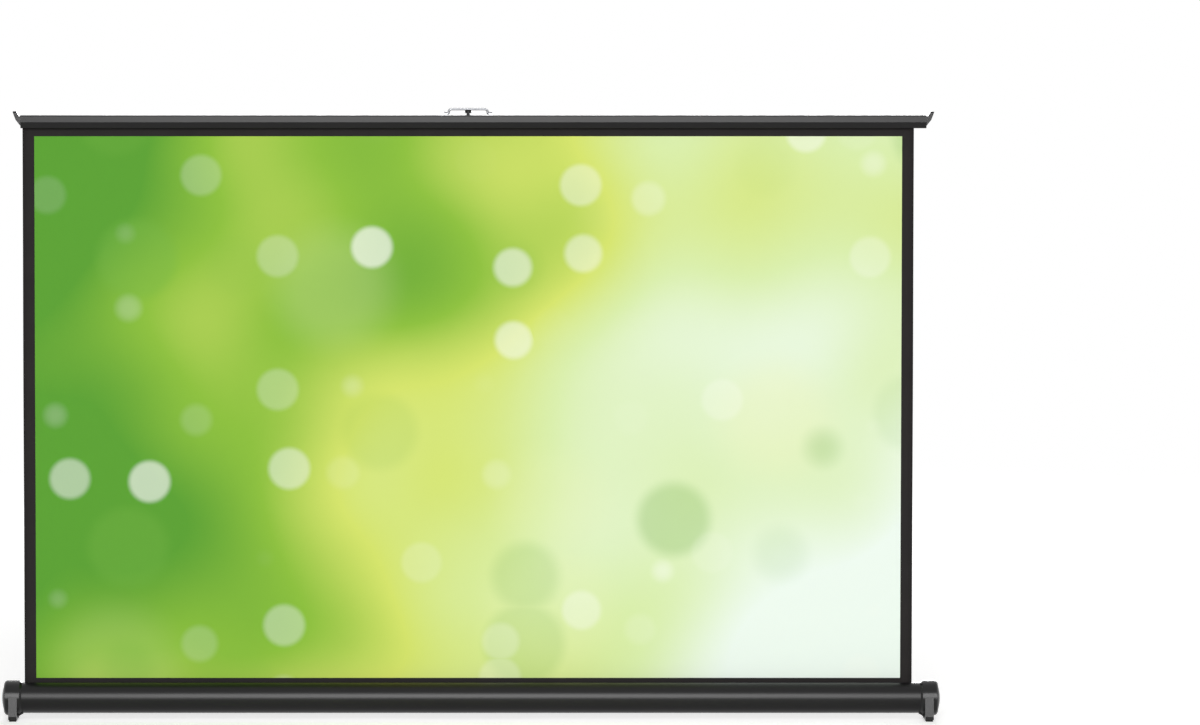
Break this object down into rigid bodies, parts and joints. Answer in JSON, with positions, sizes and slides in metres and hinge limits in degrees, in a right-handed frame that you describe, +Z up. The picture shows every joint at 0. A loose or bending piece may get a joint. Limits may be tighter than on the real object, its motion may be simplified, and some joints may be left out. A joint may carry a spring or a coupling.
{
  "type": "tabletop projection screen",
  "caption": "Pull-up tabletop projection screen: slotted round case on end feet, white cloth with black borders, top bar with handle, and folding arms behind.",
  "frame": {"origin": "on the table, under the middle of the case", "axes": "+X along the case to the right as seen from the front, -Y the way the picture faces, +Z up"},
  "size_m": [1.165, 0.0567, 0.7592],
  "materials": {
    "black_aluminium": "satin",
    "black_plastic": "satin",
    "disc_plastic": "gloss",
    "foot_rubber": "matte",
    "black_steel": "satin",
    "steel": "satin",
    "nylon": "satin",
    "bright_chrome": "polished",
    "screen_fabric": "matte"
  },
  "bodies": {
    "case": {"case_tube": "black_aluminium", "end_cap_screws": "steel", "lower_bracket": "black_steel", "lower_bracket_screws": "steel", "bearing_bush": "nylon", "spring_arbor": "steel", "arbor_socket": "nylon", "spring_anchor": "nylon", "screen_cloth": "screen_fabric", "left_end_cap": "black_plastic", "right_end_cap": "black_plastic", "left_end_disc": "disc_plastic", "right_end_disc": "disc_plastic", "left_foot_pad": "foot_rubber", "right_foot_pad": "foot_rubber", "left_lower_pin": "steel", "right_lower_pin": "steel", "left_lower_spacer": "black_plastic", "right_lower_spacer": "black_plastic"},
    "roller": {"roller_tube": "steel", "gudgeon_pin": "steel", "torsion_spring": "steel", "left_roller_plug": "nylon", "right_roller_plug": "nylon"},
    "top_bar": {"top_bar": "black_aluminium", "hem_rod": "nylon", "handle_lugs": "bright_chrome", "upper_bracket": "black_steel", "upper_bracket_screws": "steel", "left_bar_cap": "black_plastic", "right_bar_cap": "black_plastic", "left_upper_pin": "steel", "right_upper_pin": "steel", "left_upper_spacer": "black_plastic", "right_upper_spacer": "black_plastic"},
    "handle": {"handle_bow": "bright_chrome"},
    "button": {"release_button": "black_plastic", "plunger_tip": "bright_chrome"},
    "left_lower_arm": {"left_lower_arm": "black_steel", "left_elbow_pin": "steel", "left_elbow_washer": "nylon", "left_elbow_clip": "steel"},
    "left_upper_arm": {"left_upper_arm": "black_steel"},
    "right_lower_arm": {"right_lower_arm": "black_steel", "right_elbow_pin": "steel", "right_elbow_washer": "nylon", "right_elbow_clip": "steel"},
    "right_upper_arm": {"right_upper_arm": "black_steel"}
  },
  "joints": [
    {"name": "arm_fold", "type": "hinge", "parent": "case", "child": "left_lower_arm", "pos_m": [-0.0445, 0.029, 0.0273], "axis": [0, -1, 0], "range_deg": [0, 59.86], "deforming": ["screen_cloth"]},
    {"name": "left_elbow", "type": "hinge", "parent": "left_lower_arm", "child": "left_upper_arm", "pos_m": [-0.23456, 0.025, 0.38475], "axis": [0, 1, 0], "range_deg": [0, 119.72]},
    {"name": "bar_pivot", "type": "hinge", "parent": "left_upper_arm", "child": "top_bar", "pos_m": [-0.0445, 0.025, 0.7422], "axis": [0, -1, 0], "range_deg": [0, 59.86]},
    {"name": "right_arm_fold", "type": "hinge", "parent": "case", "child": "right_lower_arm", "pos_m": [0.0375, 0.029, 0.0273], "axis": [0, 1, 0], "range_deg": [0, 59.86]},
    {"name": "right_elbow", "type": "hinge", "parent": "right_lower_arm", "child": "right_upper_arm", "pos_m": [0.22756, 0.025, 0.38475], "axis": [0, -1, 0], "range_deg": [0, 119.72]},
    {"name": "roller_spin", "type": "hinge", "parent": "case", "child": "roller", "pos_m": [0, 0, 0.0273], "axis": [-1, 0, 0], "range_deg": [0, 3866.4]},
    {"name": "handle_fold", "type": "hinge", "parent": "top_bar", "child": "handle", "pos_m": [-0.0035, 0.0078, 0.7523], "axis": [-1, 0, 0], "range_deg": [0, 90]},
    {"name": "button_press", "type": "slide", "parent": "top_bar", "child": "button", "axis": [0, 0, -1], "range_m": [0, 0.004], "stiffness_N_per_m": 400}
  ],
  "couplings": [
    {"joint": "left_elbow", "follows": "arm_fold", "ratio": 2},
    {"joint": "bar_pivot", "follows": "arm_fold", "ratio": 1},
    {"joint": "right_arm_fold", "follows": "arm_fold", "ratio": 1},
    {"joint": "right_elbow", "follows": "arm_fold", "ratio": 2},
    {"joint": "roller_spin", "follows": "arm_fold", "ratio": 64.59}
  ]
}
